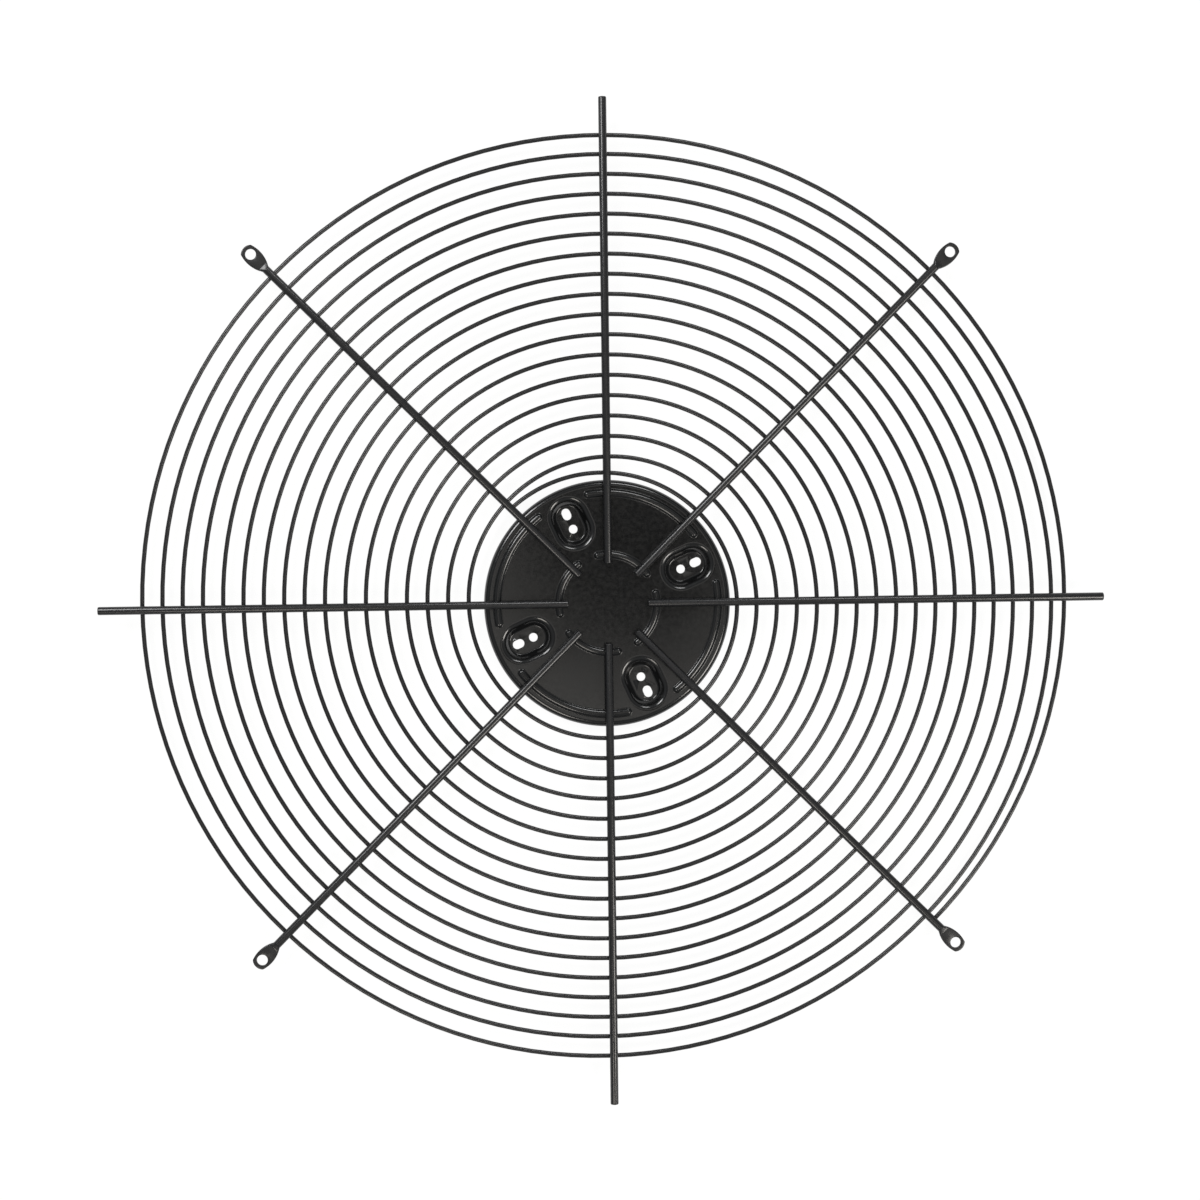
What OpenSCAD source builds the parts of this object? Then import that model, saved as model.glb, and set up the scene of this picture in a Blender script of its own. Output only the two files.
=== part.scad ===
// Wire fan guard with a pressed motor plate, lying on its back with the front facing up (+Z).
// The origin is on the guard's axis, in the plane of the four motor seats.

/* [Spokes] */
// Wire diameter of the eight spokes
spoke_d = 4.2; // [3.6:0.1:5]
// Distance from the axis to the spokes' inner ends
spoke_inner_r = 20.7; // [16:0.1:22]
// Distance from the axis to the plain spokes' outer tips
plain_tip_r = 260.4; // [250:0.1:280]
// Chamfer on the cut ends of the wires
wire_chamfer = 0.5; // [0.2:0.1:0.8]
// How far each weld sinks one piece into the next
weld_sink = 0.1; // [0:0.02:0.12]

/* [Eyelets] */
// Diameter of the circle through the four eyelet holes
eyelet_pcd = 510; // [500:1:540]
// Diameter of the eyelet holes
eyelet_hole_d = 5.5; // [4.5:0.1:6]
// Thickness of the flattened wire at the eyelet
eyelet_t = 1.8; // [1.4:0.1:2.4]
// Greatest width of the eyelet
eyelet_w = 9; // [8.5:0.1:10]
// Distance from the eyelet's widest place out to the hole's centre
widest_to_hole = 2; // [1:0.1:3]
// Radius of the eyelet's two curved sides
eyelet_side_r = 16; // [14:0.5:20]
// Distance from the hole's centre out to the eyelet's outer end
hole_to_end = 4.75; // [4.5:0.05:6]
// Radius of the eyelet's outer end
eyelet_end_r = 5.2; // [5:0.1:7]
// Distance from the hole's centre in to where the round wire starts to flatten
hole_to_round = 11.2; // [10.8:0.1:13]
// Length over which the round wire flattens
flattening_l = 2.6; // [2:0.1:4]

/* [Spiral] */
// Wire diameter of the spiral
spiral_d = 2.1; // [1.6:0.1:3]
// Number of half turns
half_turns = 35; // [15:2:35]
// Radius at which the spiral starts
spiral_start_r = 66.8; // [66:0.1:68]
// Angle at which the spiral starts, seen from the front
spiral_start_angle = 135; // [45:90:315]
// How much the radius grows over the first turn
first_turn_rise = 5.4; // [4:0.1:10]
// Pitch of the second turn
inner_pitch = 10.85; // [10:0.05:11]
// Pitch of the last whole turn
outer_pitch = 10.2; // [9.8:0.05:10.4]
// How much the last half turn closes in
last_half_drop = 1.7; // [0:0.1:3]

/* [Hub plate] */
// Diameter of the plate over its turned rim
hub_d = 127; // [127:1:130]
// Thickness of the sheet
sheet_t = 1.5; // [1.2:0.1:1.6]
// Outer radius of the bend at the rim
rim_bend_r = 3; // [2:0.1:3]
// Depth of the turned rim, front face to edge
rim_depth = 5.5; // [4:0.1:6]

/* [Beads] */
// Height of the beads that carry the spokes
bead_h = 1.2; // [0.9:0.1:1.3]
// Radius of the ring of outer beads
outer_bead_r = 57.3; // [57:0.1:58]
// Width of the outer beads
outer_bead_w = 3.9; // [3.7:0.1:4.2]
// Angle between the centres of an outer bead's round ends
outer_bead_span = 61.6; // [58:0.2:63]
// Radius of the ring of inner beads
inner_bead_r = 25.4; // [24:0.1:26]
// Width of the inner beads
inner_bead_w = 3.6; // [3.6:0.1:4.2]
// Angle between the centres of an inner bead's round ends
inner_bead_span = 65; // [60:0.5:70]

/* [Motor recesses] */
// Angle of the first recess
recess_angle = 24; // [22:0.5:26]
// Distance from the axis to a recess's centre
recess_r = 46; // [45.5:0.1:46]
// Width of a recess at the front face
recess_w = 21.3; // [20:0.1:21.4]
// Length of a recess at the front face
recess_l = 28.6; // [28:0.1:28.8]
// Depth of a recess, front face to floor
recess_depth = 5; // [4:0.1:6]
// Lean of the recess walls from upright
wall_lean = 30; // [25:1:32]
// Radius of the shoulder where a recess leaves the front face
shoulder_r = 2.7; // [2.5:0.1:2.9]
// Radius between a recess's wall and floor
floor_fillet_r = 1.2; // [1:0.1:1.4]
// Distance from the axis to the round motor holes
motor_hole_r = 42.3; // [41.5:0.1:42.5]
// Diameter of the round motor holes
motor_hole_d = 4.5; // [4.2:0.1:5]
// Distance from the axis to the motor slots' centres
motor_slot_r = 50.7; // [50.5:0.1:51]
// Width of the motor slots
motor_slot_w = 4.5; // [4.2:0.1:5]
// Length of the motor slots, end to end
motor_slot_l = 6.1; // [5.6:0.1:6.4]

/* [Hidden] */

$fn = 96;
plate_black = [0.1, 0.1, 0.1];
wire_black = [0.17, 0.17, 0.18];
quarter_turns = [0, 90, 180, 270];
bend_steps = 5;  // chords in each pressed bend
past = 1;        // how far a cut runs past the face it leaves
dome_step = 0.02;  // how much shallower a bead's domed ends are than the bead

// Levels, counted up from the motor seats
floor_z = sheet_t;
front_z = floor_z + recess_depth;
back_z = front_z - sheet_t;
spoke_z = front_z + bead_h - weld_sink + spoke_d / 2;
spiral_z = spoke_z - spoke_d / 2 + weld_sink - spiral_d / 2;

whole_turns = (half_turns - 1) / 2;

// Points on an arc about [x, z], from one angle to the other
function arc(x, z, r, from, to) =
    [for (i = [0:bend_steps]) let (a = from + (to - from) * i / bend_steps) [x + r * cos(a), z + r * sin(a)]];

// Distance from the axis to the spiral wire's centre, k half turns from its start
function spiral_r(k) =
    let (n = min(k / 2, whole_turns) - 1, easing = (inner_pitch - outer_pitch) / (whole_turns - 1) / 2)
    k < 2 ? spiral_start_r + first_turn_rise * k / 2
    : spiral_start_r + first_turn_rise + inner_pitch * n - easing * n * n - (k == half_turns ? last_half_drop : 0);

// A 2D section's right half
module right_half() {
    intersection() {
        children();
        translate([0, -hub_d]) square(2 * hub_d);
    }
}

// The first section, centred on x = 0, carried round an arc about the axis; the second makes its domed ends
module along_arc(r, span) {
    rotate(-span / 2) rotate_extrude(angle = span) translate([r, 0]) children(0);
    for (end = [-1, 1]) rotate(end * span / 2) translate([r, 0, 0])
        rotate(-90 * end) rotate_extrude() right_half() children(1);
}

// A section carried straight along X over a length between the centres of its round ends
module along_line(length) {
    rotate([90, 0, 90]) linear_extrude(length, center = true) children();
    for (end = [0, 1]) mirror([end, 0, 0]) translate([length / 2, 0, 0])
        rotate(-90) rotate_extrude(angle = 180) right_half() children();
}

// ---- Hub plate ----

module pressed_disc() {
    edge_r = hub_d / 2;
    flat_r = edge_r - rim_bend_r;
    bend_z = front_z - rim_bend_r;
    rotate_extrude() polygon(concat(
        [[0, back_z], [0, front_z]],
        arc(flat_r, bend_z, rim_bend_r, 90, 0),
        [[edge_r, front_z - rim_depth], [edge_r - sheet_t, front_z - rim_depth]],
        arc(flat_r, bend_z, rim_bend_r - sheet_t, 0, 90)
    ));
}

// Radius of a bead's arched front, and the height of its centre
function bead_section_r(w) = (w * w / 4 + bead_h * bead_h) / (2 * bead_h);
function bead_centre_z(w) = front_z + bead_h - bead_section_r(w);

// Front of a bead: the arched sheet, from the middle of the plate's thickness up
module bead_ridge(w, r) {
    intersection() {
        translate([0, bead_centre_z(w)]) circle(r);
        translate([-w, front_z - sheet_t / 2]) square([2 * w, bead_h + sheet_t]);
    }
}

// Back of a bead: the hollow under the arched sheet
module bead_hollow(w, r) {
    translate([0, bead_centre_z(w)]) circle(r);
    translate([-r, back_z - past]) square([2 * r, bead_centre_z(w) - back_z + past]);
}

// A ring of beads, or of the hollows behind them, between the recesses
module beads(ring_r, w, span) {
    r = bead_section_r(w);
    for (a = quarter_turns) rotate(a + 45) along_arc(ring_r, span) {
        bead_ridge(w, r);
        bead_ridge(w, r - dome_step);
    }
}

module bead_hollows(ring_r, w, span) {
    r = bead_section_r(w) - sheet_t;
    for (a = quarter_turns) rotate(a + 45) along_arc(ring_r, span) {
        bead_hollow(w, r);
        bead_hollow(w, r - dome_step);
    }
}

// Half widths at which the recess walls and floor start
wall_z = recess_depth - (shoulder_r + floor_fillet_r) * (1 - sin(wall_lean));
floor_half_w = recess_w / 2 - (shoulder_r + floor_fillet_r) * cos(wall_lean) - wall_z * tan(wall_lean);

// Section of the pressing, one side: shoulder, leaning wall and floor, offset into the sheet by t
function recess_side(t) = concat(
    arc(recess_w / 2, front_z - shoulder_r, shoulder_r - t, 90, 180 - wall_lean),
    arc(floor_half_w, floor_z + floor_fillet_r, floor_fillet_r + t, -wall_lean, -90)
);

function mirrored(points) = [for (i = [len(points) - 1:-1:0]) [-points[i][0], points[i][1]]];

// Section of the recess closed by a lid at height lid_z
module recess_section(t, lid_z) {
    half = concat([[recess_w / 2, lid_z]], recess_side(t));
    polygon(concat(half, mirrored(half)));
}

module motor_openings() {
    translate([motor_hole_r, 0, -past]) cylinder(h = sheet_t + 2 * past, d = motor_hole_d);
    translate([motor_slot_r, 0, -past]) along_line(motor_slot_l - motor_slot_w)
        translate([-motor_slot_w / 2, 0]) square([motor_slot_w, sheet_t + 2 * past]);
}

module hub_plate() {
    recess_line = recess_l - recess_w;
    color(plate_black) rotate(recess_angle) difference() {
        union() {
            pressed_disc();
            beads(outer_bead_r, outer_bead_w, outer_bead_span);
            beads(inner_bead_r, inner_bead_w, inner_bead_span);
            for (a = quarter_turns) rotate(a) translate([recess_r, 0, 0]) along_line(recess_line)
                recess_section(sheet_t, front_z - sheet_t / 2);
        }
        bead_hollows(outer_bead_r, outer_bead_w, outer_bead_span);
        bead_hollows(inner_bead_r, inner_bead_w, inner_bead_span);
        for (a = quarter_turns) {
            rotate(a) translate([recess_r, 0, 0]) along_line(recess_line) recess_section(0, front_z + past);
            rotate(a) motor_openings();
        }
    }
}

// ---- Spokes, each along +X before it is turned to its angle ----

module wire_end() {
    cylinder(h = wire_chamfer, d1 = spoke_d, d2 = spoke_d - 2 * wire_chamfer);
}

// Straight round wire from the inner ends' radius out to another, with a cut end at the inside
module spoke_wire(outer_r) {
    length = outer_r - spoke_inner_r - wire_chamfer;
    translate([spoke_inner_r + wire_chamfer, 0, 0]) {
        rotate([0, 90, 0]) cylinder(h = length, d = spoke_d);
        rotate([0, -90, 0]) wire_end();
    }
}

module plain_spoke(angle) {
    color(wire_black) rotate(angle) translate([0, 0, spoke_z]) {
        spoke_wire(plain_tip_r - wire_chamfer);
        translate([plain_tip_r - wire_chamfer, 0, 0]) rotate([0, 90, 0]) wire_end();
    }
}

// Outline of the flattened end, with the hole's centre at the origin
module eyelet_outline() {
    intersection() {
        for_side(1);
        for_side(-1);
        union() {
            translate([hole_to_end - eyelet_end_r, 0]) circle(eyelet_end_r);
            translate([-2 * eyelet_side_r, -eyelet_w]) square([2 * eyelet_side_r, 2 * eyelet_w]);
        }
    }
}

module for_side(side) {
    translate([-widest_to_hole, side * (eyelet_side_r - eyelet_w / 2)]) circle(eyelet_side_r);
}

// Wedge that the die takes off one side of the round wire
module flattening_wedge(side) {
    start_x = -hole_to_round;
    slope = flattening_l / (spoke_d / 2 - eyelet_t / 2);
    low_z = eyelet_t / 4;
    high_z = spoke_d / 2 + past;
    mirror([0, 0, side]) rotate([90, 0, 0]) linear_extrude(2 * spoke_d, center = true) polygon([
        [start_x - slope * past, high_z],
        [start_x + slope * (spoke_d / 2 - low_z), low_z],
        [0, low_z],
        [0, high_z]
    ]);
}

module eyelet_spoke(angle) {
    hole_r = eyelet_pcd / 2;
    color(wire_black) rotate(angle) translate([0, 0, spoke_z]) difference() {
        union() {
            difference() {
                spoke_wire(hole_r - hole_to_round + flattening_l);
                for (side = [0, 1]) translate([hole_r, 0, 0]) flattening_wedge(side);
            }
            translate([hole_r, 0, 0]) linear_extrude(eyelet_t, center = true) eyelet_outline();
        }
        translate([hole_r, 0, 0]) cylinder(h = 2 * eyelet_t, d = eyelet_hole_d, center = true);
    }
}

// ---- Spiral ----

// One half turn: an arc whose centre lies on the line through both of its ends
module half_turn(k) {
    r_from = spiral_r(k);
    r_to = spiral_r(k + 1);
    rotate(spiral_start_angle - 180 * k) translate([(r_from - r_to) / 2, 0, 0])
        rotate_extrude(angle = -180) translate([(r_from + r_to) / 2, 0]) circle(d = spiral_d);
}

module spiral_wire() {
    color(wire_black) translate([0, 0, spiral_z]) for (k = [0:half_turns - 1]) half_turn(k);
}

hub_plate();
spiral_wire();
for (a = quarter_turns) {
    eyelet_spoke(a + 45);
    plain_spoke(a);
}
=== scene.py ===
"""Looks of a wire fan guard that lies on its back on a pale floor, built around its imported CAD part."""

import logging
import math
from collections.abc import Iterable, Sequence
from dataclasses import dataclass, field
from enum import Enum
from functools import cache

import bmesh
import bpy
from bmesh.types import BMEdge, BMesh, BMFace, BMVert
from mathutils import Matrix, Vector


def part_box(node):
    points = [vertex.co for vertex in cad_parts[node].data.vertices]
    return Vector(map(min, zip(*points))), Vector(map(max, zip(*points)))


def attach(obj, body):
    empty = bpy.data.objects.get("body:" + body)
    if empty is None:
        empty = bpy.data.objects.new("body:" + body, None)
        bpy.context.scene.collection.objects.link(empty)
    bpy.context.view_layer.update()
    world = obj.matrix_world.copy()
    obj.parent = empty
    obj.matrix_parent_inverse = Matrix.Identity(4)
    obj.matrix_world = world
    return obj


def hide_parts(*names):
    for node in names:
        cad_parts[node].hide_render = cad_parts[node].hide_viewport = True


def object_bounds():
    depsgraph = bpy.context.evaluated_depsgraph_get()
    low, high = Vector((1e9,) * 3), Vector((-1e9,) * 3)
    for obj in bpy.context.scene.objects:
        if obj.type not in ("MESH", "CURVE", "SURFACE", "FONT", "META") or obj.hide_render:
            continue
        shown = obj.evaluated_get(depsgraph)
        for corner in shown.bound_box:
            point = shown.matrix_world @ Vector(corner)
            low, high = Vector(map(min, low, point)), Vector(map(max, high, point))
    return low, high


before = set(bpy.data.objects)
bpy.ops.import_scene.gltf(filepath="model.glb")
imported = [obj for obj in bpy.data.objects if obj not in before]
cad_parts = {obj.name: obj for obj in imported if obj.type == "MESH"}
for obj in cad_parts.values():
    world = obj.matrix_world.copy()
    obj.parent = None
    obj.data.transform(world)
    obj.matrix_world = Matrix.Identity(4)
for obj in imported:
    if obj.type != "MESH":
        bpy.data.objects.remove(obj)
CAD_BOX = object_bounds()

MM = 0.001
UM = 0.000001
UP = Vector((0.0, 0.0, 1.0))
ORIGIN = Vector((0.0, 0.0, 0.0))
MERGE_MM = 0.003  # two points nearer than this are one
MARGIN_MM = 0.2  # a narrow flat strip beside each bend, so that smooth shading leaves the flat sheet flat
FLAT = 0.99999  # least upright share of a normal at which its face counts as flat
CUT_EDGE = 60  # angle in degrees between two faces above which their edge was cut, and not bent
NOISE_RANGE = (0.3, 0.7)  # nearly all values of a noise lie in here
QUARTERS = (0, 90, 180, 270)
log = logging.getLogger("fan_guard")


# ---- Modelling helpers, all in millimetres ----


@dataclass(frozen=True)
class Leg:
    """One leg of a drawn line or of a swept track.

    Attributes:
        centre: A point on the axis that a turn goes about.
        axis: Direction of that axis.
        degrees: Angle of the turn, 0 for a straight leg.
        by: Travel of a straight leg.
        steps: How many faces or edges the leg is cut into.
    """

    centre: Vector = ORIGIN
    axis: Vector = UP
    degrees: float = 0.0
    by: Vector = ORIGIN
    steps: int = 1


def walk(bm: BMesh, geom: Sequence[BMVert | BMEdge], legs: Iterable[Leg]) -> list[BMVert | BMEdge]:
    """Carries vertices or edges along a track and leaves the edges or faces that they sweep.

    Args:
        bm: The mesh that holds them.
        geom: The vertices and edges to carry.
        legs: The track.

    Returns:
        The copies of the carried elements at the end of the track.
    """
    last = list(geom)
    for leg in legs:
        made = bmesh.ops.spin(
            bm,
            geom=last,
            cent=leg.centre,
            axis=leg.axis,
            dvec=leg.by / leg.steps,
            angle=math.radians(leg.degrees),
            steps=leg.steps,
            use_merge=False,
            use_normal_flip=False,
            use_duplicate=False,
        )
        last = made["geom_last"]
    return last


def draw(bm: BMesh, start: Vector, legs: Iterable[Leg]) -> list[BMVert | BMEdge]:
    """Draws a line by carrying one vertex along straight and curved legs.

    Args:
        bm: The mesh to draw in.
        start: Where the line begins.
        legs: The legs of the line.

    Returns:
        Every vertex and edge of the new line.
    """
    known = set(bm.verts) | set(bm.edges)
    walk(bm, [bm.verts.new(start)], legs)
    return [part for part in [*bm.verts, *bm.edges] if part not in known]


def open_edges(bm: BMesh, height: float) -> list[BMEdge]:
    """Finds the edges at one height that have at most one face.

    Args:
        bm: The mesh to search.
        height: Their height.

    Returns:
        The edges.
    """
    return [
        edge
        for edge in bm.edges
        if len(edge.link_faces) < 2 and all(abs(vert.co.z - height) < MERGE_MM for vert in edge.verts)
    ]


def creases(bm: BMesh, degrees: float) -> list[BMEdge]:
    """Finds the edges whose two faces meet at more than an angle.

    Args:
        bm: The mesh to search.
        degrees: The angle between the faces.

    Returns:
        The edges.
    """
    limit = math.radians(degrees)
    return [edge for edge in bm.edges if len(edge.link_faces) == 2 and edge.calc_face_angle() > limit]


def ease(bm: BMesh, edges: Iterable[BMEdge], width: float, segments: int = 2) -> None:
    """Rounds edges with a bevel.

    Args:
        bm: The mesh that holds them.
        edges: The edges.
        width: Distance from each edge to where its rounding starts.
        segments: How many faces the rounding has across.
    """
    bmesh.ops.bevel(
        bm,
        geom=list(edges),
        offset=width,
        offset_type="OFFSET",
        segments=segments,
        profile=0.5,
        affect="EDGES",
        material=-1,
        clamp_overlap=True,
    )


def turn_about_axis(degrees: float) -> Matrix:
    """Gives the turn about the guard's axis by an angle."""
    return Matrix.Rotation(math.radians(degrees), 4, "Z")


def direction(degrees: float) -> Vector:
    """Gives the direction at an angle, seen from the front."""
    return turn_about_axis(degrees) @ Vector((1.0, 0.0, 0.0))


# ---- Finishes ----


def linear(hex_colour: str) -> tuple[float, float, float, float]:
    """Turns an sRGB hex colour to the linear values that a shader takes.

    Args:
        hex_colour: The colour as #rrggbb.

    Returns:
        Red, green, blue and alpha.
    """
    parts = (int(hex_colour[i : i + 2], 16) / 255 for i in (1, 3, 5))
    red, green, blue = (p / 12.92 if p <= 0.04045 else ((p + 0.055) / 1.055) ** 2.4 for p in parts)
    return red, green, blue, 1.0


def add_node(
    tree: bpy.types.NodeTree,
    kind: str,
    settings: dict[str, object] | None = None,
    inputs: dict[str, object] | None = None,
) -> bpy.types.Node:
    """Adds a node with its settings and links.

    Args:
        tree: The node tree to add to.
        kind: The node's type name.
        settings: Values of its properties.
        inputs: For each input, the socket to link from or the plain value to set.

    Returns:
        The node.
    """
    node = tree.nodes.new(kind)
    for name, value in (settings or {}).items():
        setattr(node, name, value)
    for name, value in (inputs or {}).items():
        if isinstance(value, bpy.types.NodeSocket):
            tree.links.new(value, node.inputs[name])
        else:
            node.inputs[name].default_value = value
    return node


@dataclass(frozen=True)
class PowderCoat:
    """Satin black polyester powder, sprayed dry and baked, so it flows to a fine orange peel.

    Attributes:
        name: Name of the material.
        colour: Colour of most of the film.
        thin_colour: Colour where the film is thinner and a little greyer.
        roughness: Lowest and highest roughness of the film.
        ior: Index of refraction of the resin.
        peel_mm: Size of the orange peel's bumps.
        peel_um: Height of those bumps in micrometres.
        cloud_mm: Size of the patches of thinner film.
        wave_mm: Size of the slow waves that pressing leaves in a sheet.
        wave_um: Height of those waves in micrometres.
        crown_mm: Distance from the axis over which a pressed sheet bows back.
        crown_um: How far it bows back there, in micrometres.
    """

    name: str
    colour: str
    thin_colour: str
    roughness: tuple[float, float]
    ior: float = 1.5
    peel_mm: float = 0.9
    peel_um: float = 6.0
    cloud_mm: float = 9.0
    wave_mm: float = 28.0
    wave_um: float = 0.0
    crown_mm: float = 60.0
    crown_um: float = 0.0

    def material(self) -> bpy.types.Material:
        """Makes the material, or finds it if it was made before.

        Returns:
            The material.
        """
        if self.name in bpy.data.materials:
            return bpy.data.materials[self.name]
        material = bpy.data.materials.new(self.name)
        material.use_nodes = True
        tree = material.node_tree
        tree.nodes.clear()
        place = add_node(tree, "ShaderNodeTexCoord").outputs["Object"]
        clouds = self.noise(tree, place, self.cloud_mm, detail=4.0)
        film = add_node(
            tree,
            "ShaderNodeMix",
            {"data_type": "RGBA"},
            {0: clouds, 6: linear(self.colour), 7: linear(self.thin_colour)},
        )
        gloss = add_node(
            tree,
            "ShaderNodeMapRange",
            inputs={
                "Value": self.noise(tree, place, self.cloud_mm / 3, detail=2.0),
                "From Min": NOISE_RANGE[0],
                "From Max": NOISE_RANGE[1],
                "To Min": self.roughness[0],
                "To Max": self.roughness[1],
            },
        )
        normal = self.bump(tree, self.noise(tree, place, self.peel_mm, detail=1.0), self.peel_um)
        if self.wave_um:
            waves = self.noise(tree, place, self.wave_mm, detail=0.0)
            normal = self.bump(tree, waves, self.wave_um, normal)
        if self.crown_um:
            inverse = 1 / (self.crown_mm * MM)
            outward = add_node(
                tree,
                "ShaderNodeVectorMath",
                {"operation": "MULTIPLY"},
                {0: place, 1: (inverse, inverse, 0.0)},
            ).outputs["Vector"]
            bow = add_node(
                tree, "ShaderNodeVectorMath", {"operation": "DOT_PRODUCT"}, {0: outward, 1: outward}
            ).outputs["Value"]
            normal = self.bump(tree, bow, -self.crown_um, normal)
        shader = add_node(
            tree,
            "ShaderNodeBsdfPrincipled",
            inputs={
                "Base Color": film.outputs[2],
                "Roughness": gloss.outputs["Result"],
                "IOR": self.ior,
                "Normal": normal,
            },
        )
        add_node(tree, "ShaderNodeOutputMaterial", inputs={"Surface": shader.outputs["BSDF"]})
        return material

    def bump(
        self,
        tree: bpy.types.NodeTree,
        height: bpy.types.NodeSocket,
        rise_um: float,
        under: bpy.types.NodeSocket | None = None,
    ) -> bpy.types.NodeSocket:
        """Adds a relief to the surface.

        Args:
            tree: The node tree to add to.
            height: The socket that gives the relief from 0 to 1.
            rise_um: How far 1 stands out, in micrometres; a sunk relief is below 0.
            under: Normal of the relief that it lies on, if there is one.

        Returns:
            The socket that gives the new normal.
        """
        inputs = {"Height": height, "Distance": abs(rise_um) * UM, "Strength": 1.0}
        if under:
            inputs["Normal"] = under
        return add_node(tree, "ShaderNodeBump", {"invert": rise_um < 0}, inputs).outputs["Normal"]

    def noise(
        self, tree: bpy.types.NodeTree, place: bpy.types.NodeSocket, size_mm: float, detail: float
    ) -> bpy.types.NodeSocket:
        """Adds a noise whose blobs have a real size.

        Args:
            tree: The node tree to add to.
            place: Object coordinates, in metres.
            size_mm: Size of the blobs.
            detail: How many finer layers it has.

        Returns:
            The socket that gives the noise from 0 to 1.
        """
        return add_node(
            tree,
            "ShaderNodeTexNoise",
            inputs={"Vector": place, "Scale": 1 / (size_mm * MM), "Detail": detail, "Roughness": 0.55},
        ).outputs["Fac"]


class Finish(Enum):
    """The finishes of the guard. Both are the same powder; the sheet takes it smoother than the thin wire."""

    # Polyester powder on drawn steel wire: thin on a round surface, so its peel is low and a lamp shows
    # as one soft line along the wire. The peel is drawn coarser than the real one, which would not show.
    WIRE = PowderCoat(
        name="satin_black_powder_coat_on_drawn_wire",
        colour="#101012",
        thin_colour="#161617",
        roughness=(0.25, 0.31),
        peel_um=1.2,
    )
    # The same powder on pressed sheet: it flows out to a closer gloss, dark where the room is dark, with
    # lines of light on the bends, and the sheet under it waves and bows back slightly from the pressing.
    SHEET = PowderCoat(
        name="satin_black_powder_coat_on_pressed_sheet",
        colour="#0b0c0d",
        thin_colour="#101010",
        roughness=(0.14, 0.20),
        peel_mm=1.4,
        peel_um=2.0,
        cloud_mm=6.0,
        wave_um=80.0,
        crown_um=800.0,
    )


def make_piece(
    bm: BMesh,
    name: str,
    finish: Finish,
    stands_for: Iterable[str] = (),
    crease: float = 32.0,
) -> bpy.types.Object:
    """Turns a mesh in millimetres into a piece of the guard in metres, shaded smooth between its creases.

    Args:
        bm: The mesh, which is used up.
        name: Name of the piece.
        finish: Its finish.
        stands_for: The CAD nodes that it replaces.
        crease: Angle between two faces above which their edge stays sharp.

    Returns:
        The piece.
    """
    for face in bm.faces:
        face.smooth = True
    for edge in creases(bm, crease):
        edge.smooth = False
    bmesh.ops.scale(bm, vec=(MM, MM, MM), verts=bm.verts)
    mesh = bpy.data.meshes.new(name)
    bm.to_mesh(mesh)
    bm.free()
    mesh.materials.append(finish.value.material())
    piece = bpy.data.objects.new(name, mesh)
    bpy.context.scene.collection.objects.link(piece)
    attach(piece, "root")
    if stands_for:
        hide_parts(*stands_for)
    return piece


@cache
def middle_height(node: str) -> float:
    """Gives the height of a CAD node's middle, in millimetres."""
    low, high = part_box(node)
    return (low.z + high.z) / 2 / MM


# ---- Hub plate ----


@dataclass
class Bead:
    """A rib pressed into the plate along an arc, with domed ends, which a spoke is welded on.

    Attributes:
        ring_r: Radius of the arc.
        width: Width of the round crest where it would meet the plate.
        span: Angle between the centres of its domed ends.
        height: Height of the crest above the plate.
        foot_r: Radius of the hollow fillet at its foot.
        foot_steps: Faces across the fillet.
        crest_steps: Faces across half the crest.
        end_steps: Faces round each end.
    """

    ring_r: float
    width: float
    span: float
    height: float = 1.2
    foot_r: float = 0.6
    foot_steps: int = 3
    crest_steps: int = 4
    end_steps: int = 12

    def press(self, bm: BMesh, plate_z: float) -> None:
        """Adds the bead's front, centred on the direction of +X.

        Args:
            bm: The mesh to add to.
            plate_z: Height of the plate's front.
        """
        crest_r = (self.width**2 / 4 + self.height**2) / (2 * self.height)
        crest_z = plate_z + self.height - crest_r
        rise = plate_z + self.foot_r - crest_z
        reach = math.sqrt((crest_r + self.foot_r) ** 2 - rise**2)
        lean = 90 - math.degrees(math.atan2(rise, reach))
        across = Vector((0.0, 1.0, 0.0))
        foot = Vector((self.ring_r + reach, 0.0, plate_z))
        middle = Vector((self.ring_r, 0.0, crest_z))
        section = draw(
            bm,
            foot,
            [
                Leg(centre=foot + self.foot_r * UP, axis=across, degrees=lean, steps=self.foot_steps),
                Leg(centre=middle, axis=across, degrees=-lean, steps=self.crest_steps),
            ],
        )
        verts = [part for part in section if isinstance(part, BMVert)]
        bmesh.ops.rotate(bm, verts=verts, cent=ORIGIN, matrix=turn_about_axis(-self.span / 2))
        ends = [direction(end * self.span / 2) * self.ring_r for end in (1, -1)]
        along = round(self.span / 2)
        walk(
            bm,
            section,
            [
                Leg(degrees=self.span, steps=along),
                Leg(centre=ends[0], degrees=180, steps=self.end_steps),
                Leg(degrees=-self.span, steps=along),
                Leg(centre=ends[1], degrees=180, steps=self.end_steps),
            ],
        )


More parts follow.
